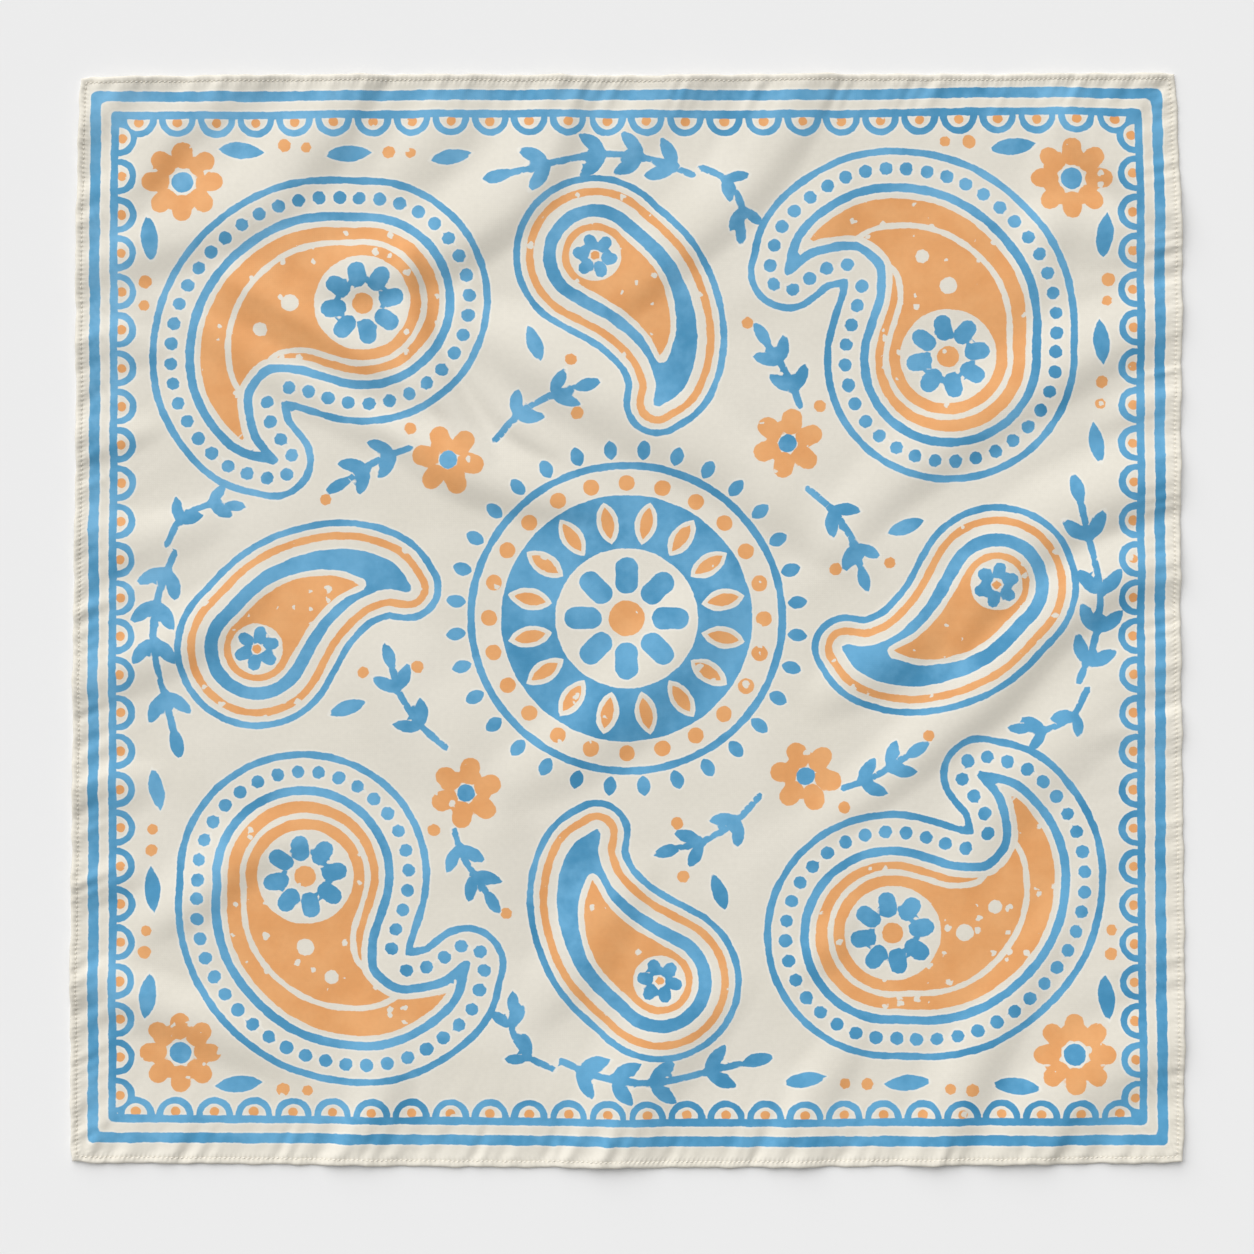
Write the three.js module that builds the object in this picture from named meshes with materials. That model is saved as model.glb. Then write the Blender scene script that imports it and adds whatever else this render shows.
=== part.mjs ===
// A square cotton bandana lying nearly flat, face up, with a narrow rolled hem on all four sides.
// Millimetres, +Z up, +X to the right and +Y to the top of the cloth as it lies.
// The origin is the middle of its outline, on the surface that it lies on.
import * as THREE from "three";

// Cloth and hem
const CLOTH_THICK = 1.1;
const HEM_THICK = 1.9;
const HEM_WIDTH = 3.2;
const HEM_SLOPE = 1.6; // run over which the hem comes down to the plain cloth
const CORNER_DRAWN_IN = 0.8; // how far each corner point sits inside the straight edges' meeting point

// The plain cloth inside the hem is worked out on this many even squares each way
const SQUARES = 46;

// Each edge's distance from the middle lines, at even steps along it.
// Left and right run from top to bottom, top and bottom run from left to right.
const EDGES = {
  left: [-277.7, -279.7, -279.7, -281.0, -281.5, -282.6, -282.3],
  right: [277.7, 280.8, 280.2, 280.0, 281.3, 282.2, 281.5],
  top: [275.0, 276.1, 276.4, 275.9, 276.6, 276.6, 277.3],
  bottom: [-275.1, -275.9, -277.2, -277.7, -277.4, -276.2, -275.1],
};

// Soft folds, each raised along a crest of [x, y, height] points.
// The cloth comes down over `rise` on the left of the crest's run, and over `fall` on its right.
const FOLDS = [
  {
    name: "corner tuck",
    rise: 16,
    fall: 14,
    crest: [[-284, 238, 1.8], [-265, 259, 1.9], [-247, 280, 1.8]],
  },
  {
    name: "second from the corner",
    rise: 22,
    fall: 15,
    crest: [
      [-284, 201, 1.8],
      [-254, 217, 2.1],
      [-234, 243, 2.1],
      [-209, 263, 1.9],
      [-185, 280, 1.8],
    ],
  },
  {
    name: "long sweep",
    rise: 30,
    fall: 21,
    crest: [
      [-284, 178, 1.7],
      [-242, 189, 2.5],
      [-196, 208, 2.9],
      [-163, 235, 2.9],
      [-135, 280, 2.5],
    ],
  },
  {
    name: "short top rib",
    rise: 22,
    fall: 26,
    crest: [[-129, 205, 0], [-111, 228, 1.3], [-96, 250, 1.7], [-89, 280, 1.8]],
  },
  {
    name: "big bend",
    rise: 34,
    fall: 19,
    crest: [
      [-171, 170, 0],
      [-143, 173, 1.9],
      [-95, 187, 3.5],
      [-54, 215, 3.4],
      [-35, 248, 2.9],
      [-33, 280, 2.3],
    ],
  },
  {
    name: "tail of the bend",
    rise: 15,
    fall: 12,
    crest: [[-67, 79, 0], [-91, 112, 2.9], [-109, 151, 3.2], [-111, 184, 1.5]],
  },
  {
    name: "upper slant",
    rise: 20,
    fall: 18,
    crest: [[-215, 182, 0], [-183, 162, 2.5], [-139, 134, 2.6], [-94, 101, 0]],
  },
  {
    name: "lower slant",
    rise: 24,
    fall: 17,
    crest: [[-132, 104, 0], [-95, 81, 3.2], [-58, 66, 3.2], [-5, 53, 0]],
  },
  {
    name: "long slant",
    rise: 30,
    fall: 24,
    crest: [[-97, 158, 0], [-54, 136, 3.3], [-8, 109, 3.8], [47, 78, 3.5], [118, 27, 0.5]],
  },
  {
    name: "top middle",
    rise: 30,
    fall: 18,
    crest: [[-15, 150, 0], [14, 178, 2.1], [55, 213, 2.6], [80, 248, 2.8], [98, 280, 2.5]],
  },
  {
    name: "short top middle",
    rise: 20,
    fall: 18,
    crest: [[-19, 221, 0], [7, 251, 1.6], [37, 280, 1.8]],
  },
  {
    name: "top right corner",
    rise: 20,
    fall: 14,
    crest: [[212, 280, 2.2], [229, 247, 3.0], [255, 220, 3.0], [289, 200, 2.2]],
  },
  {
    name: "under the corner",
    rise: 24,
    fall: 24,
    crest: [[182, 152, 0], [205, 176, 1.6], [224, 198, 2.3], [289, 192, 1.8]],
  },
  {
    name: "first on the right",
    rise: 29,
    fall: 20,
    crest: [[106, 37, 0.5], [141, 74, 2.6], [202, 116, 3.1], [245, 140, 2.9], [289, 156, 2.2]],
  },
  {
    name: "second on the right",
    rise: 29,
    fall: 21,
    crest: [[156, -21, 0], [182, 15, 2.6], [212, 46, 3.4], [250, 65, 3.4], [289, 73, 2.5]],
  },
  {
    name: "third on the right",
    rise: 26,
    fall: 18,
    crest: [
      [85, -117, 0],
      [128, -83, 2.0],
      [182, -39, 2.9],
      [215, -2, 3.3],
      [248, 20, 3.3],
      [289, 26, 2.5],
    ],
  },
  {
    name: "fourth on the right",
    rise: 26,
    fall: 24,
    crest: [[166, -145, 0], [184, -99, 2.0], [220, -62, 2.3], [248, -36, 2.1], [289, -11, 1.8]],
  },
  {
    name: "fifth on the right",
    rise: 15,
    fall: 16,
    crest: [[232, -62, 0], [260, -55, 1.5], [289, -55, 2.0]],
  },
  {
    name: "right of the middle",
    rise: 22,
    fall: 20,
    crest: [[88, -49, 0], [123, -25, 2.5], [144, -5, 2.5], [164, 22, 0]],
  },
  {
    name: "middle",
    rise: 30,
    fall: 26,
    crest: [[-74, -92, 0], [-29, -67, 2.3], [7, -35, 2.9], [37, -2, 2.6], [60, 20, 0]],
  },
  {
    name: "first on the left",
    rise: 15,
    fall: 18,
    crest: [[-289, 139, 2.1], [-262, 142, 2.0], [-232, 135, 0]],
  },
  {
    name: "second on the left",
    rise: 15,
    fall: 15,
    crest: [[-289, 91, 2.1], [-262, 92, 1.8], [-234, 98, 0]],
  },
  {
    name: "third on the left",
    rise: 18,
    fall: 22,
    crest: [[-289, 45, 2.3], [-257, 40, 2.2], [-221, 48, 1.3], [-201, 63, 0]],
  },
  {
    name: "left rib",
    rise: 22,
    fall: 19,
    crest: [[-289, -36, 2.2], [-252, -23, 2.5], [-209, 0, 2.2], [-176, 30, 0]],
  },
  {
    name: "left drop",
    rise: 30,
    fall: 34,
    crest: [[-166, 30, 0], [-130, -16, 3.0], [-95, -64, 3.0], [-69, -117, 2.6], [-47, -168, 0]],
  },
  {
    name: "fourth on the left",
    rise: 15,
    fall: 20,
    crest: [[-289, -84, 2.3], [-262, -83, 2.1], [-230, -77, 0]],
  },
  {
    name: "fifth on the left",
    rise: 15,
    fall: 16,
    crest: [[-289, -133, 2.1], [-265, -131, 1.7], [-242, -123, 0]],
  },
  {
    name: "low left rib",
    rise: 24,
    fall: 17,
    crest: [[-254, -163, 0], [-224, -144, 1.9], [-191, -118, 2.1], [-150, -107, 0]],
  },
  {
    name: "low left slant",
    rise: 18,
    fall: 20,
    crest: [[-289, -180, 2.3], [-252, -190, 2.8], [-209, -207, 2.6], [-161, -231, 0]],
  },
  {
    name: "bottom left",
    rise: 22,
    fall: 18,
    crest: [[-145, -290, 2.0], [-126, -247, 2.3], [-125, -219, 2.0], [-137, -188, 0]],
  },
  {
    name: "bottom middle",
    rise: 34,
    fall: 26,
    crest: [[-12, -290, 2.5], [5, -236, 3.3], [30, -205, 2.9], [66, -171, 0]],
  },
  {
    name: "low middle",
    rise: 26,
    fall: 19,
    crest: [[-53, -209, 0], [-27, -177, 1.9], [-8, -147, 1.9], [16, -116, 0]],
  },
  {
    name: "bottom right of the middle",
    rise: 20,
    fall: 17,
    crest: [[81, -290, 2.0], [93, -247, 2.1], [109, -220, 1.4], [121, -197, 0]],
  },
  {
    name: "bottom right",
    rise: 24,
    fall: 19,
    crest: [[152, -290, 2.1], [167, -241, 2.6], [187, -207, 2.1], [212, -165, 1.6], [248, -112, 0]],
  },
  {
    name: "corner fold",
    rise: 31,
    fall: 24,
    crest: [[189, -290, 2.0], [220, -248, 3.2], [250, -226, 3.2], [289, -209, 2.3]],
  },
];

// Corners that stand a little off the surface
const CORNER_LIFTS = [
  { x: -282.3, y: -275.1, reach: 46, height: 1.4 },
  { x: 281.5, y: -275.1, reach: 60, height: 2.2 },
];

const CREST_STEPS = 8; // short straight steps in each stretch between two points of a crest
const END_WIDTH = 0.5; // a fold's width where its height runs out, as a share of its full width

// One stretch of the smooth curve that runs through b and c, on its way from a to d.
function throughPoints(a, b, c, d, t) {
  return (
    0.5 *
    (2 * b + (c - a) * t + (2 * a - 5 * b + 4 * c - d) * t * t + (3 * b - a - 3 * c + d) * t * t * t)
  );
}

// The smooth curve through evenly spaced values, at a share from 0 to 1 of its length.
function edgeAt(values, share) {
  const last = values.length - 1;
  const at = Math.min(share, 1) * last;
  const i = Math.min(Math.floor(at), last - 1);
  const before = i > 0 ? values[i - 1] : 2 * values[0] - values[1];
  const after = i < last - 1 ? values[i + 2] : 2 * values[last] - values[last - 1];
  return throughPoints(before, values[i], values[i + 1], after, at - i);
}

// A fold's crest as many short steps, each point with its height.
function crestLine(crest) {
  const last = crest.length - 1;
  const points = [];
  for (let i = 0; i < last; i++) {
    const b = crest[i];
    const c = crest[i + 1];
    const a = i > 0 ? crest[i - 1] : b.map((v, k) => 2 * v - c[k]);
    const d = i < last - 1 ? crest[i + 2] : c.map((v, k) => 2 * v - b[k]);
    for (let s = 0; s < CREST_STEPS; s++) {
      points.push(b.map((_, k) => throughPoints(a[k], b[k], c[k], d[k], s / CREST_STEPS)));
    }
  }
  points.push(crest[last]);
  return points.map(([x, y, height]) => [x, y, Math.max(height, 0)]);
}

const crests = FOLDS.map(({ rise, fall, crest }) => ({
  rise,
  fall,
  top: Math.max(...crest.map((point) => point[2])),
  line: crestLine(crest),
}));

// Height of one fold: its crest's height at the nearest point, times (1 - (distance / width)^2)^2.
function foldHeight({ rise, fall, top, line }, x, y) {
  let nearest = Infinity;
  let height = 0;
  let width = rise;
  for (let i = 0; i + 1 < line.length; i++) {
    const [ax, ay, ah] = line[i];
    const [bx, by, bh] = line[i + 1];
    const dx = bx - ax;
    const dy = by - ay;
    const t = THREE.MathUtils.clamp(((x - ax) * dx + (y - ay) * dy) / (dx * dx + dy * dy), 0, 1);
    const ex = x - ax - t * dx;
    const ey = y - ay - t * dy;
    const distance = Math.hypot(ex, ey);
    if (distance < nearest) {
      nearest = distance;
      height = ah + (bh - ah) * t;
      width = dx * ey - dy * ex > 0 ? rise : fall;
    }
  }
  width *= END_WIDTH + (1 - END_WIDTH) * (height / top);
  return height * Math.max(0, 1 - (nearest / width) ** 2) ** 2;
}

// Height of the cloth's underside over the surface: all its folds and lifted corners together.
function underside(x, y) {
  let z = 0;
  for (const crest of crests) z += foldHeight(crest, x, y);
  for (const lift of CORNER_LIFTS) {
    const share = Math.hypot(x - lift.x, y - lift.y) / lift.reach;
    z += lift.height * Math.max(0, 1 - share) ** 2;
  }
  return z;
}

// Where the lines of the grid lie across the cloth, as shares of its width: the hem, then even squares.
function gridLines(size) {
  const hem = HEM_WIDTH / size;
  const inner = (HEM_WIDTH + HEM_SLOPE) / size;
  const lines = [0, hem];
  for (let i = 0; i <= SQUARES; i++) lines.push(inner + ((1 - 2 * inner) * i) / SQUARES);
  return [...lines, 1 - hem, 1];
}

const width = EDGES.right[0] - EDGES.left[0];
const depth = EDGES.top[0] - EDGES.bottom[0];
const across = gridLines(width);
const up = gridLines(depth);
const COUNT = across.length;

// A point of the flat outline's inside: u runs from left to right, v from bottom to top.
function flatPoint(u, v) {
  const x = THREE.MathUtils.lerp(edgeAt(EDGES.left, 1 - v), edgeAt(EDGES.right, 1 - v), u);
  const y = THREE.MathUtils.lerp(edgeAt(EDGES.bottom, u), edgeAt(EDGES.top, u), v);
  const atCorner = (u === 0 || u === 1) && (v === 0 || v === 1);
  if (!atCorner) return [x, y];
  return [x - Math.sign(x) * CORNER_DRAWN_IN, y - Math.sign(y) * CORNER_DRAWN_IN];
}

// The hem is two rings of the grid; everything inside them is plain cloth.
function thicknessAt(i, j) {
  const ring = Math.min(i, j, COUNT - 1 - i, COUNT - 1 - j);
  return ring < 2 ? HEM_THICK : CLOTH_THICK;
}

// One closed sheet: a top and an underside on the same grid, joined by a wall round the outline.
function clothGeometry() {
  const tops = [];
  const unders = [];
  for (let j = 0; j < COUNT; j++) {
    for (let i = 0; i < COUNT; i++) {
      const [x, y] = flatPoint(across[i], up[j]);
      const z = underside(x, y);
      unders.push([x, y, z]);
      tops.push([x, y, z + thicknessAt(i, j)]);
    }
  }
  const vertices = [...tops, ...unders];
  const under = tops.length;
  const faces = [];
  const at = (i, j) => j * COUNT + i;
  for (let j = 0; j + 1 < COUNT; j++) {
    for (let i = 0; i + 1 < COUNT; i++) {
      const [a, b, c, d] = [at(i, j), at(i + 1, j), at(i + 1, j + 1), at(i, j + 1)];
      // Each square is split between the two opposite corners that are nearer in height
      const rising = Math.abs(unders[a][2] - unders[c][2]) <= Math.abs(unders[b][2] - unders[d][2]);
      const halves = rising ? [[a, b, c], [a, c, d]] : [[a, b, d], [b, c, d]];
      for (const [p, q, r] of halves) {
        faces.push(p, q, r);
        faces.push(under + p, under + r, under + q);
      }
    }
  }
  const rim = [];
  for (let i = 0; i + 1 < COUNT; i++) rim.push(at(i, 0));
  for (let j = 0; j + 1 < COUNT; j++) rim.push(at(COUNT - 1, j));
  for (let i = COUNT - 1; i > 0; i--) rim.push(at(i, COUNT - 1));
  for (let j = COUNT - 1; j > 0; j--) rim.push(at(0, j));
  rim.forEach((p, k) => {
    const q = rim[(k + 1) % rim.length];
    faces.push(under + p, under + q, q);
    faces.push(under + p, q, p);
  });
  const geometry = new THREE.BufferGeometry();
  geometry.setAttribute("position", new THREE.Float32BufferAttribute(vertices.flat(), 3));
  geometry.setIndex(faces);
  geometry.computeBoundingBox();
  const middle = geometry.boundingBox.getCenter(new THREE.Vector3());
  geometry.translate(-middle.x, -middle.y, 0);
  geometry.computeVertexNormals();
  return geometry;
}

// Washed cream cotton with a soft sheen
const cotton = new THREE.MeshStandardMaterial({
  name: "cotton",
  color: new THREE.Color().setRGB(219 / 255, 214 / 255, 202 / 255, THREE.SRGBColorSpace),
  roughness: 0.72,
  metalness: 0,
});

const cloth = new THREE.Mesh(clothGeometry(), cotton);
cloth.name = "cloth";

const bandana = new THREE.Group();
bandana.name = "bandana";
bandana.add(cloth);

export default bandana;
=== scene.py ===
"""A square cotton bandana lying nearly flat, face up, printed in blue and orange on cream.

Sizes are in millimetres here and go into the meshes in metres. +X is to the right, +Y is the
top edge of the cloth as it lies and +Z is up. The surface that it lies on is Z = 0.
"""

import bpy
import numpy as np
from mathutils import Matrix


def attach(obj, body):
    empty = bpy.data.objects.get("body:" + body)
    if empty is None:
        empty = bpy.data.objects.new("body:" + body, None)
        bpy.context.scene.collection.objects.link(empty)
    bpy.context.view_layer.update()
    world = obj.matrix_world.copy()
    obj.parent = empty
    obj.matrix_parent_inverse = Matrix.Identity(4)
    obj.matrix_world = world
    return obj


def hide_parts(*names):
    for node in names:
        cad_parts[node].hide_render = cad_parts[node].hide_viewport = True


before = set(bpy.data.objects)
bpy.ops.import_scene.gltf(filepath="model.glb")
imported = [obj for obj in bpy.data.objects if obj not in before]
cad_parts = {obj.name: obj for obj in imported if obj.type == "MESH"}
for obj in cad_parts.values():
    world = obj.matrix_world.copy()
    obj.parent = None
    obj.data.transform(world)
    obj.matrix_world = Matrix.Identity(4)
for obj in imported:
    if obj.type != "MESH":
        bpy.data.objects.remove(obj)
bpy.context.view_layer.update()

MM = 0.001
TURN = 2 * np.pi

# Camera

PHOTO_WIDTH = 635.8  # what the photograph's frame spans on the cloth
CAMERA_HEIGHT = 1500.0
CAMERA_OVER = (-0.2, -3.3)
SENSOR = 36.0


def add_camera():
    """A camera straight above the cloth: lens / sensor = height / width of the frame."""
    data = bpy.data.cameras.new("camera")
    data.sensor_width = SENSOR
    data.lens = SENSOR * CAMERA_HEIGHT / PHOTO_WIDTH
    data.clip_start = 0.01
    data.clip_end = 50.0
    data.dof.use_dof = False
    camera = bpy.data.objects.new("camera", data)
    camera.location = (CAMERA_OVER[0] * MM, CAMERA_OVER[1] * MM, CAMERA_HEIGHT * MM)
    bpy.context.scene.collection.objects.link(camera)
    bpy.context.scene.camera = camera


add_camera()

# Sizes

CLOTH_THICK = 1.1
HEM_THICK = 1.9
STITCH_INSET = 3.1
STITCH_PITCH = 2.4

# Each edge's distance from the middle lines, at even steps along it.
# Left and right run from top to bottom, top and bottom run from left to right.
EDGES = {
    "left": [-277.7, -279.7, -279.7, -281.0, -281.5, -282.6, -282.3],
    "right": [277.7, 280.8, 280.2, 280.0, 281.3, 282.2, 281.5],
    "top": [275.0, 276.1, 276.4, 275.9, 276.6, 276.6, 277.3],
    "bottom": [-275.1, -275.9, -277.2, -277.7, -277.4, -276.2, -275.1],
}

# Soft folds: (name, rise, fall, crest points x, y, height). The cloth comes down over `rise`
# on the left of the crest's run and over `fall` on its right.
FOLDS = [
    ("corner tuck", 16, 14, [(-284, 238, 1.8), (-265, 259, 1.9), (-247, 280, 1.8)]),
    ("second from the corner", 22, 15,
     [(-284, 201, 1.8), (-254, 217, 2.1), (-234, 243, 2.1), (-209, 263, 1.9), (-185, 280, 1.8)]),
    ("long sweep", 30, 21,
     [(-284, 178, 1.7), (-242, 189, 2.5), (-196, 208, 2.9), (-163, 235, 2.9), (-135, 280, 2.5)]),
    ("short top rib", 22, 26, [(-129, 205, 0), (-111, 228, 1.3), (-96, 250, 1.7), (-89, 280, 1.8)]),
    ("big bend", 34, 19,
     [(-171, 170, 0), (-143, 173, 1.9), (-95, 187, 3.5), (-54, 215, 3.4), (-35, 248, 2.9), (-33, 280, 2.3)]),
    ("tail of the bend", 15, 12, [(-67, 79, 0), (-91, 112, 2.9), (-109, 151, 3.2), (-111, 184, 1.5)]),
    ("upper slant", 20, 18, [(-215, 182, 0), (-183, 162, 2.5), (-139, 134, 2.6), (-94, 101, 0)]),
    ("lower slant", 24, 17, [(-132, 104, 0), (-95, 81, 3.2), (-58, 66, 3.2), (-5, 53, 0)]),
    ("long slant", 30, 24, [(-97, 158, 0), (-54, 136, 3.3), (-8, 109, 3.8), (47, 78, 3.5), (118, 27, 0.5)]),
    ("top middle", 30, 18, [(-15, 150, 0), (14, 178, 2.1), (55, 213, 2.6), (80, 248, 2.8), (98, 280, 2.5)]),
    ("short top middle", 20, 18, [(-19, 221, 0), (7, 251, 1.6), (37, 280, 1.8)]),
    ("top right corner", 20, 14, [(212, 280, 2.2), (229, 247, 3.0), (255, 220, 3.0), (289, 200, 2.2)]),
    ("under the corner", 24, 24, [(182, 152, 0), (205, 176, 1.6), (224, 198, 2.3), (289, 192, 1.8)]),
    ("first on the right", 29, 20,
     [(106, 37, 0.5), (141, 74, 2.6), (202, 116, 3.1), (245, 140, 2.9), (289, 156, 2.2)]),
    ("second on the right", 29, 21,
     [(156, -21, 0), (182, 15, 2.6), (212, 46, 3.4), (250, 65, 3.4), (289, 73, 2.5)]),
    ("third on the right", 26, 18,
     [(85, -117, 0), (128, -83, 2.0), (182, -39, 2.9), (215, -2, 3.3), (248, 20, 3.3), (289, 26, 2.5)]),
    ("fourth on the right", 26, 24,
     [(166, -145, 0), (184, -99, 2.0), (220, -62, 2.3), (248, -36, 2.1), (289, -11, 1.8)]),
    ("fifth on the right", 15, 16, [(232, -62, 0), (260, -55, 1.5), (289, -55, 2.0)]),
    ("right of the middle", 22, 20, [(88, -49, 0), (123, -25, 2.5), (144, -5, 2.5), (164, 22, 0)]),
    ("middle", 30, 26, [(-74, -92, 0), (-29, -67, 2.3), (7, -35, 2.9), (37, -2, 2.6), (60, 20, 0)]),
    ("first on the left", 15, 18, [(-289, 139, 2.1), (-262, 142, 2.0), (-232, 135, 0)]),
    ("second on the left", 15, 15, [(-289, 91, 2.1), (-262, 92, 1.8), (-234, 98, 0)]),
    ("third on the left", 18, 22, [(-289, 45, 2.3), (-257, 40, 2.2), (-221, 48, 1.3), (-201, 63, 0)]),
    ("left rib", 22, 19, [(-289, -36, 2.2), (-252, -23, 2.5), (-209, 0, 2.2), (-176, 30, 0)]),
    ("left drop", 30, 34,
     [(-166, 30, 0), (-130, -16, 3.0), (-95, -64, 3.0), (-69, -117, 2.6), (-47, -168, 0)]),
    ("fourth on the left", 15, 20, [(-289, -84, 2.3), (-262, -83, 2.1), (-230, -77, 0)]),
    ("fifth on the left", 15, 16, [(-289, -133, 2.1), (-265, -131, 1.7), (-242, -123, 0)]),
    ("low left rib", 24, 17, [(-254, -163, 0), (-224, -144, 1.9), (-191, -118, 2.1), (-150, -107, 0)]),
    ("low left slant", 18, 20, [(-289, -180, 2.3), (-252, -190, 2.8), (-209, -207, 2.6), (-161, -231, 0)]),
    ("bottom left", 22, 18, [(-145, -290, 2.0), (-126, -247, 2.3), (-125, -219, 2.0), (-137, -188, 0)]),
    ("bottom middle", 34, 26, [(-12, -290, 2.5), (5, -236, 3.3), (30, -205, 2.9), (66, -171, 0)]),
    ("low middle", 26, 19, [(-53, -209, 0), (-27, -177, 1.9), (-8, -147, 1.9), (16, -116, 0)]),
    ("bottom right of the middle", 20, 17,
     [(81, -290, 2.0), (93, -247, 2.1), (109, -220, 1.4), (121, -197, 0)]),
    ("bottom right", 24, 19,
     [(152, -290, 2.1), (167, -241, 2.6), (187, -207, 2.1), (212, -165, 1.6), (248, -112, 0)]),
    ("corner fold", 31, 24, [(189, -290, 2.0), (220, -248, 3.2), (250, -226, 3.2), (289, -209, 2.3)]),
    # Slight ones that only the finished cloth has
    ("right short", 16, 12, [(230, 95, 0), (255, 105, 1.2), (289, 112, 1.6)]),
    ("low centre dimple", 14, 14, [(80, -186, 0), (101, -165, 1.4), (118, -140, 0)]),
    ("upper dimple", 22, 15, [(98, 176, 0), (104, 205, 1.2), (112, 232, 0)]),
    ("top right band", 16, 22, [(207, 172, 0), (211, 205, 0.9), (216, 240, 0.7), (222, 270, 0)]),
    ("under the upper slant", 13, 16, [(-242, 164, 0), (-186, 131, 2.0), (-133, 101, 1.9), (-96, 84, 0)]),
    ("top of the upper slant", 11, 8, [(-212, 178, 0), (-170, 155, 0.9), (-130, 131, 1.0), (-92, 105, 0)]),
    ("left of the tail", 14, 9,
     [(-118, 166, 0), (-113, 150, 0.6), (-107, 134, 1.1), (-88, 103, 1.0), (-70, 84, 0)]),
    ("beside the tail", 12, 9,
     [(-78, 175, 0), (-88, 151, 1.5), (-80, 128, 2.2), (-58, 99, 2.0), (-34, 82, 0)]),
    ("start of the bend", 16, 17, [(-168, 175, 0), (-147, 177, 0.5), (-124, 180, 0.5), (-104, 187, 0)]),
]

# Corners that stand a little off the surface: x, y, reach, height
CORNER_LIFTS = [(-282.3, -275.1, 46, 1.4), (281.5, -275.1, 60, 2.2)]

CREST_STEPS = 8
END_WIDTH = 0.5  # a fold's width at its ends, as a share of the width at its top


def through_points(a, b, c, d, t):
    """The cubic from b to c whose slope at each is half the step between its two neighbours."""
    return 0.5 * (2 * b + (c - a) * t + (2 * a - 5 * b + 4 * c - d) * t**2 + (3 * b - a - 3 * c + d) * t**3)


def smooth_values(values, share):
    """The smooth curve through evenly spaced values, at shares from 0 to 1 of its length."""
    values = np.asarray(values, float)
    padded = np.concatenate([[2 * values[0] - values[1]], values, [2 * values[-1] - values[-2]]])
    last = len(values) - 1
    at = np.clip(share, 0, 1) * last
    i = np.minimum(np.floor(at).astype(int), last - 1)
    return through_points(padded[i], padded[i + 1], padded[i + 2], padded[i + 3], at - i)


def smooth_path(points, steps):
    """A row of points made into a smooth curve of many short steps."""
    points = np.asarray(points, float)
    share = np.linspace(0, 1, (len(points) - 1) * steps + 1)
    return np.stack([smooth_values(points[:, k], share) for k in range(points.shape[1])], axis=1)


def near_line(x, y, line, reach):
    """Which points lie in the box round a line, made wider by `reach` all round."""
    low, high = line[:, :2].min(0) - reach, line[:, :2].max(0) + reach
    return np.flatnonzero((x > low[0]) & (x < high[0]) & (y > low[1]) & (y < high[1]))


def fold_height(crest, rise, fall, x, y):
    """Height of one fold: its crest's height at the nearest point times (1 - (distance / width)^2)^2."""
    line = smooth_path(crest, CREST_STEPS)
    line[:, 2] = np.maximum(line[:, 2], 0)
    top = max(point[2] for point in crest)
    near = near_line(x, y, line, max(rise, fall))
    out = np.zeros_like(x)
    if not near.size:
        return out
    px, py = x[near, None], y[near, None]
    a, b = line[:-1], line[1:]
    dx, dy = b[:, 0] - a[:, 0], b[:, 1] - a[:, 1]
    t = np.clip(((px - a[:, 0]) * dx + (py - a[:, 1]) * dy) / (dx * dx + dy * dy), 0, 1)
    ex, ey = px - a[:, 0] - t * dx, py - a[:, 1] - t * dy
    distance = np.hypot(ex, ey)
    best = distance.argmin(1)
    rows = np.arange(near.size)
    t, ex, ey, distance = (m[rows, best] for m in (t, ex, ey, distance))
    height = a[best, 2] + (b[best, 2] - a[best, 2]) * t
    width = np.where(dx[best] * ey - dy[best] * ex > 0, rise, fall)
    width = width * (END_WIDTH + (1 - END_WIDTH) * height / top)
    out[near] = height * np.maximum(0, 1 - (distance / width) ** 2) ** 2
    return out


def edge_distances(x, y, u, v, edges=EDGES):
    """How far a point lies inside each of the four edges."""
    return {
        "left": x - smooth_values(edges["left"], 1 - v) - SHIFT[0],
        "right": smooth_values(edges["right"], 1 - v) + SHIFT[0] - x,
        "top": smooth_values(edges["top"], u) + SHIFT[1] - y,
        "bottom": y - smooth_values(edges["bottom"], u) - SHIFT[1],
    }


# Soft puckers that the hem's stitches pull into each side: the side, their height where their pitch
# is PUCKER_PITCH, their lean per millimetre inwards, and their pitches
PUCKERS = [
    ("left", 0.35, -0.5, (8.0, 12.5, 19.0)),
    ("right", 0.34, 0.25, (6.2, 8.8, 13.5)),
    ("top", 0.32, 0.5, (7.4, 11.5, 18.0)),
    ("bottom", 0.42, -0.5, (9.0, 14.5, 22.0)),
]
PUCKER_PITCH = 12
PUCKER_SWELL, SWELL_PITCHES = 0.45, 5.3  # how much they swell and fade, and over how many pitches
PUCKER_BEND, BEND_PITCHES = 0.9, 3.7  # how far they shift along a side, in radians, and over how many
PUCKER_EDGE = 0.45  # their strength at the very edge
PUCKER_FULL, PUCKER_KEPT, PUCKER_FADE = 5, 6, 14  # where they are full and start to fade, and how slowly


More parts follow.
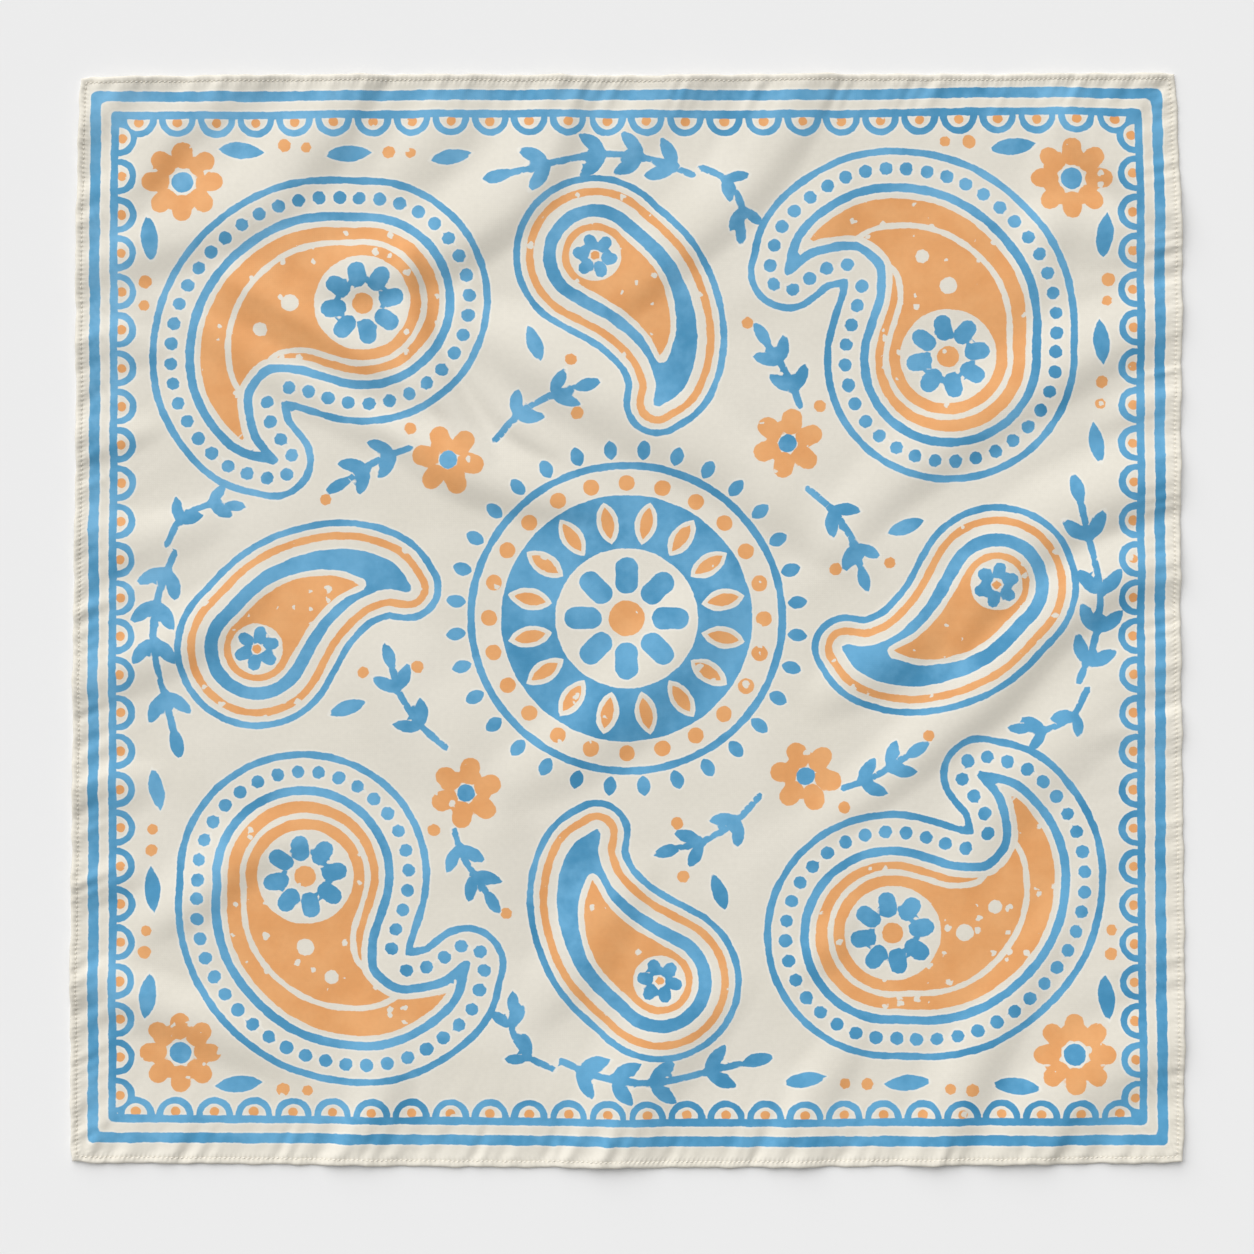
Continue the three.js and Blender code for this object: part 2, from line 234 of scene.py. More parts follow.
def puckers(x, y, u, v):
    """Seeded sines along each edge, strongest just inside the hem and dying out towards the middle."""
    random = np.random.default_rng(11)
    inset = edge_distances(x, y, u, v)
    out = np.zeros_like(x)
    for side, height, slant, pitches in PUCKERS:
        along = y if side in ("left", "right") else x
        depth = np.maximum(inset[side], 0)
        lean = along + slant * depth
        wave = np.zeros_like(x)
        for pitch in pitches:
            a, b, c = random.uniform(0, TURN, 3)
            swell = 1 - PUCKER_SWELL + PUCKER_SWELL * np.sin(TURN * along / (pitch * SWELL_PITCHES) + b)
            bend = PUCKER_BEND * np.sin(TURN * along / (pitch * BEND_PITCHES) + c)
            wave += pitch / PUCKER_PITCH * swell * np.sin(TURN * lean / pitch + a + bend)
        strength = PUCKER_EDGE + (1 - PUCKER_EDGE) * np.minimum(depth / PUCKER_FULL, 1) ** 2
        strength *= np.exp(-np.maximum(depth - PUCKER_KEPT, 0) / PUCKER_FADE)
        out += height * wave * strength
    return out


# A crease across the inside of each corner, where the hem is folded over twice: x, y signs and turn
CORNER_CREASES = [(-1, 1, 40), (1, 1, -48), (1, -1, 42), (-1, -1, -38)]
CORNER_AT = (281.5, 276.0)
# The groove and a low ridge beside it: how far in from the corner both ways, depth, length, width
CREASE_PARTS = [(7.5, 7.0, 0.5, 5.5, 1.5), (12.5, 10.5, -0.35, 7.0, 2.2)]


def corner_creases(x, y):
    """Short grooves near the corners: a bell across the crease times a bell along it."""
    out = np.zeros_like(x)
    for sign_x, sign_y, turn in CORNER_CREASES:
        a = np.radians(turn)
        for in_x, in_y, depth, length, width in CREASE_PARTS:
            dx, dy = x - sign_x * (CORNER_AT[0] - in_x), y - sign_y * (CORNER_AT[1] - in_y)
            along, across = dx * np.cos(a) + dy * np.sin(a), -dx * np.sin(a) + dy * np.cos(a)
            out -= depth * np.exp(-((along / length) ** 2) - (across / width) ** 2)
    return out


WAVE_LENGTHS = np.linspace(24, 90, 14)
WAVE_HEIGHT = 0.0011  # as a share of a wave's length
WAVE_BEND, WAVE_BEND_RATE = 1.3, 2.1  # how far each wave bends, and how fast along its crest, in radians


def unevenness(x, y):
    """The slight waviness of washed cotton: bent sines of many lengths and directions."""
    random = np.random.default_rng(5)
    out = np.zeros_like(x)
    for length in WAVE_LENGTHS:
        angle, phase, bend = random.uniform(0, TURN, 3)
        way = np.cos(angle) * x + np.sin(angle) * y
        across = -np.sin(angle) * x + np.cos(angle) * y
        wander = WAVE_BEND * np.sin(across / length * WAVE_BEND_RATE + bend)
        out += WAVE_HEIGHT * length * np.sin(TURN * way / length + phase + wander)
    return out


def cloth_height(x, y, u, v):
    """Height of the cloth's underside over the surface: folds, lifted corners, puckers and unevenness."""
    fx, fy = x - SHIFT[0], y - SHIFT[1]
    z = np.zeros_like(x)
    for _, rise, fall, crest in FOLDS:
        z += fold_height(crest, rise, fall, fx, fy)
    for lift_x, lift_y, reach, height in CORNER_LIFTS:
        z += height * np.maximum(0, 1 - np.hypot(fx - lift_x, fy - lift_y) / reach) ** 2
    return z + unevenness(x, y) + puckers(x, y, u, v) + corner_creases(x, y)


# The cloth's plan

WIDTH = EDGES["right"][0] - EDGES["left"][0]
DEPTH = EDGES["top"][0] - EDGES["bottom"][0]
CORNER_ROUND = 0.85  # how far each corner is drawn in
CORNER_REACH = 6.0
EDGE_WAVES = [(0.11, 11.3, 0.4), (0.14, 19.7, 2.1), (0.16, 34.0, 4.4)]  # height, length, start
WAVES_DEPTH = 6  # how far inwards they fade to about a third
WAVES_APART = 900  # so that the top and bottom edges wave otherwise than the sides


def edge_waves(along, inset):
    """How far the hem waves in and out: a few sines, dying out towards the middle."""
    waves = sum(size * np.sin(TURN * along / length + start) for size, length, start in EDGE_WAVES)
    return waves * np.exp(-inset / WAVES_DEPTH)


def lay(u, v):
    """Shares of the flat cloth to x and y: between the left and right edges, and the bottom and top."""
    x = smooth_values(EDGES["left"], 1 - v) * (1 - u) + smooth_values(EDGES["right"], 1 - v) * u
    y = smooth_values(EDGES["bottom"], u) * (1 - v) + smooth_values(EDGES["top"], u) * v
    near_u, near_v = np.minimum(u, 1 - u) * WIDTH, np.minimum(v, 1 - v) * DEPTH
    drawn = CORNER_ROUND * np.exp(-(near_u**2 + near_v**2) / CORNER_REACH**2)
    x += edge_waves(v * DEPTH, near_u) - np.sign(u - 0.5) * drawn
    y += edge_waves(u * WIDTH + WAVES_APART, near_v) - np.sign(v - 0.5) * drawn
    return x, y


def loop_shares(inset, per_side):
    """A square loop of shares, `inset` inside the edges, anticlockwise from the bottom left corner."""
    du, dv = inset / WIDTH, inset / DEPTH
    s = np.arange(per_side) / per_side
    low, one = np.zeros(per_side), np.ones(per_side)
    a = np.concatenate([s, one, 1 - s, low])
    b = np.concatenate([low, s, one, 1 - s])
    return du + (1 - 2 * du) * a, dv + (1 - 2 * dv) * b


SHIFT = np.zeros(2)
SHIFT = np.array([-(c.min() + c.max()) / 2 for c in lay(*loop_shares(0, 400))])


def place(u, v):
    """Shares to x and y, with the middle of the outline at the origin."""
    x, y = lay(u, v)
    return x + SHIFT[0], y + SHIFT[1]


# Mesh tools


def joined(first, second):
    """Triangles between two closed rows of vertices; the second has as many or half as many."""
    after = np.roll(second, -1)
    if len(first) == len(second):
        corners = [(first, np.roll(first, -1), after), (first, after, second)]
    else:
        even, odd = first[::2], first[1::2]
        corners = [(even, odd, second), (odd, after, second), (odd, np.roll(even, -1), after)]
    return np.concatenate([np.stack(each, 1) for each in corners])


def make_mesh(name, points, faces, smooth=True):
    """A mesh object from arrays of points in millimetres and of triangles."""
    mesh = bpy.data.meshes.new(name)
    points = np.asarray(points, np.float32) * MM
    faces = np.asarray(faces, np.int32)
    mesh.vertices.add(len(points))
    mesh.vertices.foreach_set("co", points.ravel())
    mesh.loops.add(faces.size)
    mesh.loops.foreach_set("vertex_index", faces.ravel())
    mesh.polygons.add(len(faces))
    mesh.polygons.foreach_set("loop_start", np.arange(0, faces.size, 3, dtype=np.int32))
    mesh.polygons.foreach_set("loop_total", np.full(len(faces), 3, np.int32))
    mesh.polygons.foreach_set("use_smooth", np.full(len(faces), smooth))
    mesh.update(calc_edges=True)
    mesh.validate()
    piece = bpy.data.objects.new(name, mesh)
    bpy.context.scene.collection.objects.link(piece)
    return piece


def set_values(piece, name, values):
    """A number for each vertex, read by the material."""
    layer = piece.data.attributes.new(name, "FLOAT", "POINT")
    layer.data.foreach_set("value", np.asarray(values, np.float32))


def set_uv(piece, name, at):
    """A UV map from one pair of numbers for each vertex."""
    layer = piece.data.uv_layers.new(name=name)
    corner = np.empty(len(piece.data.loops), np.int32)
    piece.data.loops.foreach_get("vertex_index", corner)
    layer.data.foreach_set("uv", np.asarray(at, np.float32)[corner].ravel())


def set_print(piece, flat, distances, face, inset, stitch):
    """What the cotton's material reads: where each vertex lies on the print, its distances to the inks,
    whether it is on top, how far inside the edge it is and its place in the row of stitches."""
    set_uv(piece, "flat", flat * MM)
    for name, values in {**distances, "face": face, "inset": inset, "stitch": stitch}.items():
        set_values(piece, name, values)


# Print

# Where the outer line's outside lies, at even steps along each side, in the order of EDGES
PRINT_EDGES = {
    "left": [-271.8, -272.6, -272.8, -273.4, -273.4, -273.5, -273.8],
    "right": [270.5, 271.9, 272.0, 272.1, 272.4, 272.9, 273.8],
    "top": [267.5, 267.5, 268.4, 268.4, 268.2, 269.8, 269.0],
    "bottom": [-264.6, -265.1, -266.0, -266.8, -266.9, -266.3, -265.9],
}
PRINT_HALF = 268.0  # the print's own half width, to the outer line's outside
OUTER_LINE = 5.2
LINE_GAP = 5.0
INNER_LINE = 3.95
INNER_HALF = PRINT_HALF - OUTER_LINE - LINE_GAP
FIELD_HALF = INNER_HALF - INNER_LINE
FAR = 30.0  # stands for far outside the ink
STROKE_STEPS = 8
THINNEST = 0.05  # a brush stroke's least radius
STEEPEST = 0.95  # the most that its radius changes in a millimetre


def print_place(x, y, u, v):
    """Where a point lies on the print: from -PRINT_HALF to PRINT_HALF between the outer lines' outsides."""
    inside = edge_distances(x, y, u, v, PRINT_EDGES)
    left, right, bottom, top = (inside[side] for side in ("left", "right", "bottom", "top"))
    return PRINT_HALF * (left - right) / (left + right), PRINT_HALF * (bottom - top) / (bottom + top)


# The motifs below give the distance to an ink's edge in millimetres, negative inside the ink.


def dot(p, q, x, y, radius):
    """A round dot."""
    return np.hypot(p - x, q - y) - radius


def brush(p, q, path):
    """A brush stroke: round-ended cones from each point x, y, radius of its smooth path to the next."""
    line = smooth_path(path, STROKE_STEPS)
    line[:, 2] = np.maximum(line[:, 2], THINNEST)
    near = near_line(p, q, line, line[:, 2].max() + FAR)
    out = np.full(p.shape, FAR)
    best = out[near]
    for (ax, ay, start), (bx, by, end) in zip(line[:-1], line[1:]):
        length = np.hypot(bx - ax, by - ay)
        way_x, way_y = (bx - ax) / length, (by - ay) / length
        along = (p[near] - ax) * way_x + (q[near] - ay) * way_y
        across = np.abs((q[near] - ay) * way_x - (p[near] - ax) * way_y)
        slope = np.clip((end - start) / length, -STEEPEST, STEEPEST)
        t = np.clip((along + across * slope / np.sqrt(1 - slope**2)) / length, 0, 1)
        best = np.minimum(best, np.hypot(along - t * length, across) - start - t * (end - start))
    out[near] = best
    return out


def leaf(p, q, x, y, angle, length, width):
    """A leaf pointed at both ends: where two equal circles overlap."""
    a = np.radians(angle)
    along = np.abs((p - x) * np.cos(a) + (q - y) * np.sin(a))
    across = np.abs(-(p - x) * np.sin(a) + (q - y) * np.cos(a))
    circle = (length**2 + width**2) / (4 * width)
    return np.hypot(along, across + circle - width / 2) - circle


def turned_about(p, q, x, y, count, turn):
    """Folds the plane into one of `count` equal sectors about x, y, so that one petal stands for all."""
    r, angle = np.hypot(p - x, q - y), np.arctan2(q - y, p - x) - np.radians(turn)
    step = TURN / count
    angle = (angle + step / 2) % step - step / 2
    return r * np.cos(angle), r * np.sin(angle)


def petals(p, q, x, y, count, start, end, radius, turn):
    """A ring of round-ended petals from `start` to `end` out from the middle."""
    along, across = turned_about(p, q, x, y, count, turn)
    return np.hypot(along - np.clip(along, start, end), across) - radius


STEM_STEPS = 16
LEAF_LEAN = 38
LEAF_WIDTH = 0.42  # as a share of its length
LEAF_GAP = 1  # how much further out the side leaves are
BARE_FOOT, BARE_TIP = 0.6, 0.25  # the stem without leaves, in spacings of its leaves


def sprig(p, q, stem, length, pairs):
    """A thin stem, pairs of leaves that lean along it, and one leaf at its tip."""
    ink = brush(p, q, stem)
    line = smooth_path(stem, STEM_STEPS)[:, :2]
    step_x, step_y = np.gradient(line, axis=0).T
    ahead = np.degrees(np.arctan2(step_y, step_x))
    leaves = [(-1, 0, length / 2)]
    for k in range(pairs):
        at = int(len(line) * (k + BARE_FOOT) / (pairs + BARE_TIP))
        leaves += [(at, lean, length / 2 + LEAF_GAP) for lean in (LEAF_LEAN, -LEAF_LEAN)]
    for at, lean, reach in leaves:
        angle = ahead[at] + lean
        x, y = line[at] + reach * np.array([np.cos(np.radians(angle)), np.sin(np.radians(angle))])
        ink = np.minimum(ink, leaf(p, q, x, y, angle, length, LEAF_WIDTH * length))
    return ink


BEAD_STEPS = 24
CAP_POINTS = 40
BEAD_SLACK = 0.6  # how much nearer than its offset a bead may lie where the stroke bends
CROWDED = 0.8  # the least distance between beads, as a share of their pitch


def beads_round(path, offset, pitch):
    """Evenly spaced points round a brush stroke: both its sides moved out, joined by an arc at each end."""
    line = smooth_path(path, BEAD_STEPS)
    middle, radius = line[:, :2], np.maximum(line[:, 2], 0)
    ahead = np.gradient(middle, axis=0)
    length = np.hypot(*ahead.T)
    ahead /= length[:, None]
    side = np.stack([-ahead[:, 1], ahead[:, 0]], 1)
    slope = np.clip(np.gradient(radius) / length, -STEEPEST, STEEPEST)[:, None]
    reach = (radius + offset)[:, None]
    left_way, right_way = (sign * side * np.sqrt(1 - slope**2) - ahead * slope for sign in (1, -1))

    def cap(at, first, last):
        begin, end = (np.arctan2(way[at, 1], way[at, 0]) for way in (first, last))
        t = begin - np.linspace(0, 1, CAP_POINTS) * ((begin - end) % TURN)
        return middle[at] + reach[at] * np.stack([np.cos(t), np.sin(t)], 1)

    left, right = middle + left_way * reach, middle + right_way * reach
    ring = np.concatenate([cap(0, right_way, left_way), left, cap(-1, left_way, right_way), right[::-1]])
    ring = np.concatenate([ring, ring[:1]])
    clear = np.hypot(*(ring[:, None] - middle[None]).transpose(2, 0, 1)) - radius
    ring = ring[clear.min(1) > offset - BEAD_SLACK]
    run = np.concatenate([[0], np.cumsum(np.hypot(*np.diff(ring, axis=0).T))])
    count = int(round(run[-1] / pitch))
    at = np.arange(count) / count * run[-1]
    points = np.stack([np.interp(at, run, ring[:, k]) for k in range(2)], 1)
    apart = np.hypot(*(points[:, None] - points[None]).transpose(2, 0, 1))
    crowded = (apart < CROWDED * pitch) & np.tri(count, k=-1, dtype=bool)
    return points[~crowded.any(1)]


# Droplet shapes: x, y, radius along the middle. Each is printed four times, a quarter turn apart.
DROPS = {
    "large_drop": [
        (161, 131, 45), (164, 160, 40), (150, 189, 28), (121, 202, 17), (93, 193, 9), (80, 176, 2),
    ],
    "large_heart": [(160, 132, 31), (162, 158, 26), (149, 181, 16), (127, 190, 8), (110, 187, 2)],
    "small_drop": [(184, 16, 26), (167, -6, 22), (144, -20, 15), (122, -22, 8), (109, -15, 2)],
    "small_heart": [(184, 16, 18), (168, -4, 14.5), (149, -15, 8), (133, -17, 2)],
}
WINDOWS = [(160, 132, 24), (160, 168, 4.4), (147, 183, 3.6), (184, 16, 13)]  # x, y, radius
BEAD_OFFSET, BEAD_PITCH, BEAD_RADIUS = 7.4, 10.4, 3.4  # the blue dots round the large droplets

SPRIGS = [
    # stem of x, y, radius; the leaves' length; pairs of leaves
    ([(225, -33, 1.7), (233, -12, 1.7), (235, 16, 1.7), (226, 56, 1.7)], 17, 4),
    ([(90, 66, 1.7), (103, 54, 1.7), (112, 40, 1.7), (116, 27, 1.7)], 15, 2),
    ([(229, -37, 1.7), (222, -50, 1.7), (210, -57, 1.7), (202, -57, 1.7)], 13, 2),
    ([(108, -86, 1.7), (122, -81, 1.7), (138, -71, 1.7)], 15, 2),
]
FLOWERS = [
    # petals' ink, middle's ink, x, y, petals, their start, end and radius, turn, middle's radius
    ("blue", "orange", 160, 132, 8, 12.5, 16.8, 4.4, 10, 5.4),
    ("blue", "orange", 184, 16, 6, 6.0, 8.4, 3.1, 20, 2.4),
    ("orange", "blue", 222, 222, 8, 11.4, 15.6, 4.8, 0, 5.5),
    ("orange", "blue", 80, 89, 6, 9.5, 13.0, 5.0, 20, 4.6),
]
LEAVES = [
    # x, y, angle, length, width
    (238, 193, 84, 24, 8.5),
    (193, 238, 6, 24, 8.5),
    (236, 139, 94, 24, 8.0),
    (234, 88, 100, 22, 7.5),
    (139, 46, 20, 20, 7.5),
]
DOTS = [
    # x, y, radius
    (240, 171, 3.4),
    (239, 160, 2.8),
    (171, 240.5, 3.4),
    (159, 241, 2.8),
    (236.5, 119, 3.2),
    (236, 108, 2.8),
    (131, 28, 3.0),
    (104, 25, 3.2),
    (96, 108, 3.2),
    (150, -60, 3.0),
]
ARCS = 26  # half rings along each side of the inner line
PRINT_VALUES = (*DROPS, "window", "blue", "orange")


def print_values(p, q):
    """The distances that the material draws the print from, each the least of its four quarter turns:
    to the droplets' outlines and hearts, to round windows in the orange, and to all other blue and orange."""
    beads = beads_round(DROPS["large_drop"], BEAD_OFFSET, BEAD_PITCH)
    least = {name: np.full(p.shape, FAR) for name in PRINT_VALUES}

    def add(name, shape):
        np.minimum(least[name], shape, out=least[name])

    x, y = p, q
    for _ in range(4):
        for name, path in DROPS.items():
            add(name, brush(x, y, path))
        for one in WINDOWS:
            add("window", dot(x, y, *one))
        for at_x, at_y in beads:
            add("blue", dot(x, y, at_x, at_y, BEAD_RADIUS))
        for petal_ink, middle_ink, at_x, at_y, count, start, end, radius, turn, middle in FLOWERS:
            add(petal_ink, petals(x, y, at_x, at_y, count, start, end, radius, turn))
            add(middle_ink, dot(x, y, at_x, at_y, middle))
        for stem, length, pairs in SPRIGS:
            add("blue", sprig(x, y, stem, length, pairs))
        for one in LEAVES:
            add("blue", leaf(x, y, *one))
        for one in DOTS:
            add("orange", dot(x, y, *one))
        x, y = y, -x
    return least


# The cloth

FIELD = 232  # squares each way inside the border band, and half as many underneath
INSETS = [1.7, 2.6, 3.1, 3.6, 4.5, 6.0, 8.0, 10.5, 13.5, 17.5]  # loops of the border band
UNDER_INSETS = [1.7, 4.5, 9.0, 15.0]
FIELD_INSET = 22.0
STITCHES = int(round(WIDTH / STITCH_PITCH))  # along each side
HEM_RISE, HEM_RISE_REACH = 0.42, 3.2  # how far the cloth comes up to meet the hem, and over what width
STITCH_DENT, STITCH_DENT_REACH = 0.12, 0.7
NEAR_MIDDLE = 0.4  # where the count of stitches isn't read, so it needn't stay exact


def stitch_count(u, v):
    """Counts the stitches from the nearest corner: whole numbers lie on stitches, halves on their holes."""
    beside = np.abs(u - 0.5) > np.abs(v - 0.5)
    share = np.where(beside, v, u)
    across = np.abs(np.where(beside, u, v) - 0.5)
    return (0.5 - np.abs(share - 0.5) / (2 * np.maximum(across, NEAR_MIDDLE))) * STITCHES


def hem_groove(inset):
    """The cloth comes up to meet the hem, and dips at the stitches: one bell less another."""
    past = np.maximum(inset - STITCH_INSET, 0)
    dent = STITCH_DENT * np.exp(-(((inset - STITCH_INSET) / STITCH_DENT_REACH) ** 2))
    return HEM_RISE * np.exp(-((past / HEM_RISE_REACH) ** 2)) - dent


def cloth_piece():
    """The panel inside the hem, closed: a top, a coarser underside and a wall between them. Its height
    is cloth_height at each share of the way across, and on top also the thickness and hem_groove."""
    us, vs, tops = [], [], []  # shares and top (1) or underside (0) of every vertex
    count = 0

    def add(u, v, top):
        nonlocal count
        us.append(u)
        vs.append(v)
        tops.append(np.full(len(u), top))
        count += len(u)
        return np.arange(count - len(u), count)

    def field(squares, top):
        """A grid of squares, cut along alternate diagonals, and the row of vertices round it."""
        s = np.linspace(0, 1, squares + 1)
        du, dv = FIELD_INSET / WIDTH, FIELD_INSET / DEPTH
        b, a = np.meshgrid(s, s, indexing="ij")
        index = add((du + (1 - 2 * du) * a).ravel(), (dv + (1 - 2 * dv) * b).ravel(), top)
        index = index.reshape(squares + 1, squares + 1)
        p, q = index[:-1, :-1].ravel(), index[:-1, 1:].ravel()
        r, t = index[1:, 1:].ravel(), index[1:, :-1].ravel()
        odd = (np.add.outer(np.arange(squares), np.arange(squares)) % 2 == 1).reshape(-1, 1)
        one = np.where(odd, np.stack([p, q, r], 1), np.stack([p, q, t], 1))
        two = np.where(odd, np.stack([p, r, t], 1), np.stack([q, r, t], 1))
        rim = np.concatenate([index[0, :-1], index[:-1, -1], index[-1, :0:-1], index[:0:-1, 0]])
        return np.concatenate([one, two]), rim

    def one_side(insets, squares, top):
        """Faces of the border band's loops and of the field inside them, and the outermost loop."""
        loops = [add(*loop_shares(inset, 2 * squares), top) for inset in insets]
        inner, rim = field(squares, top)
        strips = [joined(a, b) for a, b in zip(loops[:-1], loops[1:])]
        return np.concatenate([*strips, inner, joined(loops[-1], rim)]), loops[0]

    top_faces, top_rim = one_side(INSETS, FIELD, 1.0)
    under_faces, under_rim = one_side(UNDER_INSETS, FIELD // 2, 0.0)
    turned = np.concatenate([under_faces, joined(top_rim, under_rim)])[:, ::-1]

    u, v, top = (np.concatenate(part) for part in (us, vs, tops))
    x, y = place(u, v)
    inset = np.minimum.reduce(list(edge_distances(x, y, u, v).values()))
    height = cloth_height(x, y, u, v)
    z = np.where(top > 0.5, height + CLOTH_THICK + hem_groove(inset), np.maximum(height, 0))
    piece = make_mesh("bandana_cloth", np.stack([x, y, z], 1), np.concatenate([top_faces, turned]))
    p, q = print_place(x, y, u, v)
    set_print(piece, np.stack([p, q], 1), print_values(p, q), top, inset, stitch_count(u, v))
    return piece


# Hem profile, from the underside's inner edge round the outside to the stitches:
# (how far inside the edge, height as a share of the hem's thickness)
HEM_PROFILE = [
    (3.5, 0.30), (2.6, 0.06), (1.5, 0.0), (0.7, 0.04), (0.22, 0.20), (0.0, 0.45), (0.16, 0.72),
    (0.55, 0.92), (1.10, 1.0), (1.75, 0.97), (2.30, 0.92), (2.75, 0.86), (3.15, 0.76),
]
HEM_COLUMNS = 680  # on each side
TWIST_PITCHES = (4.4, 7.1, 11.9, 23.0, 51.0)
TWIST = 0.10  # how much fatter and thinner the twists make it
TWIST_WANDER = 0.8  # how unevenly they follow each other, in radians


def hem_piece():
    """The rolled hem: its rounded profile carried round the outline, with slight twists from the stitches."""
    random = np.random.default_rng(23)
    columns = 4 * HEM_COLUMNS
    way_round = np.arange(columns) / columns * TURN
    twist = np.zeros(columns)
    for pitch in TWIST_PITCHES:
        turns = np.round(4 * WIDTH / pitch)
        a, b = random.uniform(0, TURN, 2)
        slower = 3 * np.round(turns / 7)  # whole turns too, so that the ends meet
        twist += np.sin(turns * way_round + a + TWIST_WANDER * np.sin(slower * way_round + b))
    fat = 1 + TWIST * twist / len(TWIST_PITCHES)
    section = np.array(HEM_PROFILE) * (1, HEM_THICK)
    steps = np.hypot(*np.diff(section, axis=0).T)
    wrapped = section[-1, 0] - np.append(np.cumsum(steps[::-1])[::-1], 0)  # its inset, rolled out flat
    points, flats, insets, counts = [], [], [], []
    for (inset, level), flat_inset in zip(HEM_PROFILE, wrapped):
        u, v = loop_shares(inset * fat, HEM_COLUMNS)
        x, y = place(u, v)
        z = np.maximum(cloth_height(x, y, u, v) + HEM_THICK * level * fat, 0)
        points.append(np.stack([x, y, z], 1))
        flat_u, flat_v = loop_shares(flat_inset, HEM_COLUMNS)
        flats.append(np.stack(print_place(*place(flat_u, flat_v), flat_u, flat_v), 1))
        insets.append(np.full(columns, inset))
        counts.append(stitch_count(u, v))
    index = np.arange(len(HEM_PROFILE) * columns).reshape(-1, columns)
    faces = [joined(row, next_row) for row, next_row in zip(index, np.roll(index, -1, 0))]
    piece = make_mesh("rolled_hem", np.concatenate(points), np.concatenate(faces))
    plain = {name: np.full(index.size, FAR) for name in PRINT_VALUES}
    flat, inset, count = (np.concatenate(part) for part in (flats, insets, counts))
    set_print(piece, flat, plain, np.ones(index.size), inset, count)
    return piece


STITCH_LENGTH = 1.75
STITCH_THICK = 0.66
STITCH_FLAT = 1.15  # how much wider than thick it is
STITCH_LEAN = 0.30
STITCH_LIFT = 0.12
STITCH_DIP = 0.16  # how far its ends go down
STITCH_TIP = 0.2  # its radius at the ends, as a share
LEAN_SPREAD, LENGTH_SPREAD = 0.09, 0.07
STITCH_SIDES = 6
STITCH_RINGS = (-1.0, -0.62, 0.62, 1.0)  # along half the stitch


def stitches_piece():
    """Short capsules in a row along the hem: rings about each stitch's own line, whose radius goes with
    the root of 1 - t^4, with t from -1 to 1 along the stitch, and whose middle goes down with t^2."""
    random = np.random.default_rng(31)
    u, v = loop_shares(STITCH_INSET, STITCHES)
    x, y = place(u, v)
    z = cloth_height(x, y, u, v) + CLOTH_THICK + hem_groove(np.full(len(x), STITCH_INSET))
    middle = np.stack([x, y, z], 1)
    ahead = np.roll(middle, -1, 0) - np.roll(middle, 1, 0)
    ahead /= np.linalg.norm(ahead, axis=1, keepdims=True)
    lean = random.normal(STITCH_LEAN, LEAN_SPREAD, len(x))
    side_way = np.stack([-ahead[:, 1], ahead[:, 0], np.zeros(len(x))], 1)
    side_way /= np.linalg.norm(side_way, axis=1, keepdims=True)
    ahead = ahead + side_way * lean[:, None]
    up = np.cross(ahead, side_way)
    up *= np.sign(up[:, 2:3])
    half = STITCH_LENGTH / 2 * (1 + random.normal(0, LENGTH_SPREAD, len(x)))
    middle[:, 2] += STITCH_LIFT
    angle = np.arange(STITCH_SIDES)[None, :, None] / STITCH_SIDES * TURN
    round_way = np.cos(angle) * side_way[:, None] * STITCH_FLAT + np.sin(angle) * up[:, None]
    rings = []
    for t in STITCH_RINGS:
        radius = STITCH_THICK / 2 * np.sqrt(max(1 - t**4, STITCH_TIP**2))
        centre = middle + ahead * (half * t)[:, None] - up * (STITCH_DIP * t**2)
        rings.append(centre[:, None] + radius * round_way)
    points = np.stack(rings, 1)  # stitch, ring, side
    index = np.arange(points[0, :, :, 0].size).reshape(-1, STITCH_SIDES)
    s = np.arange(1, STITCH_SIDES - 1)
    fan = np.stack([0 * s, s, s + 1], 1)
    walls = [joined(row, next_row) for row, next_row in zip(index[:-1], index[1:])]
    one = np.concatenate([*walls, fan[:, ::-1], index[-1, 0] + fan])
    faces = np.arange(len(x))[:, None, None] * index.size + one
    return make_mesh("hem_stitches", points.reshape(-1, 3), faces.reshape(-1, 3))


# Finishes

CREAM = (0.716, 0.679, 0.597, 1)
CREAM_SHADE = (0.692, 0.655, 0.570, 1)
CREAM_FRINGE = (0.79, 0.775, 0.715, 1)
BLUE = (0.080, 0.311, 0.527, 1)
BLUE_PALE = (0.150, 0.415, 0.650, 1)
BLUE_DEEP = (0.042, 0.238, 0.430, 1)
ORANGE = (0.715, 0.325, 0.112, 1)
ORANGE_PALE = (0.760, 0.375, 0.145, 1)
# Painted shade for the stitch holes and the groove inside the hem's roll
HEM_PAINTED_SHADE = (0.62, 0.565, 0.455, 1)
# The blue is multiplied darker towards the bottom right corner: partly thicker ink, partly painted shade away
# from the light
THIN_INK_AND_PAINTED_LIGHT = (1.24, 1.07, 1.035, 1)
THICK_INK_AND_PAINTED_SHADE = (0.80, 0.93, 0.965, 1)
# The thread's colour, with painted shade in the grooves between its plies
THREAD_GROOVE_SHADE = (0.70, 0.655, 0.565, 1)
THREAD = (0.82, 0.785, 0.71, 1)
FLOOR_GREY = (0.813, 0.813, 0.813, 1)

# Noise in the cotton and its inks, from broad to fine: scale, in a metre, and detail
NOISES = [(14, 3), (26, 2), (55, 3), (190, 2), (420, 2)]
RAGGED = [(120, 2, 1.5), (520, 1, 0.5)]  # what the ink's edge follows: scale, detail, size in mm
THREADS = 330.0
PLIES = 900.0
FLECK_CELLS = 130.0  # cells of worn flecks, in a metre
FLECK_NOISE, FLECK_BEND = 330.0, 0.0035  # what bends their outlines
TOP_BLUR, UNDER_BLUR = 0.16, 1.36  # half the width of an ink's soft edge, in mm
SHOW_THROUGH = 0.32  # the ink's strength underneath


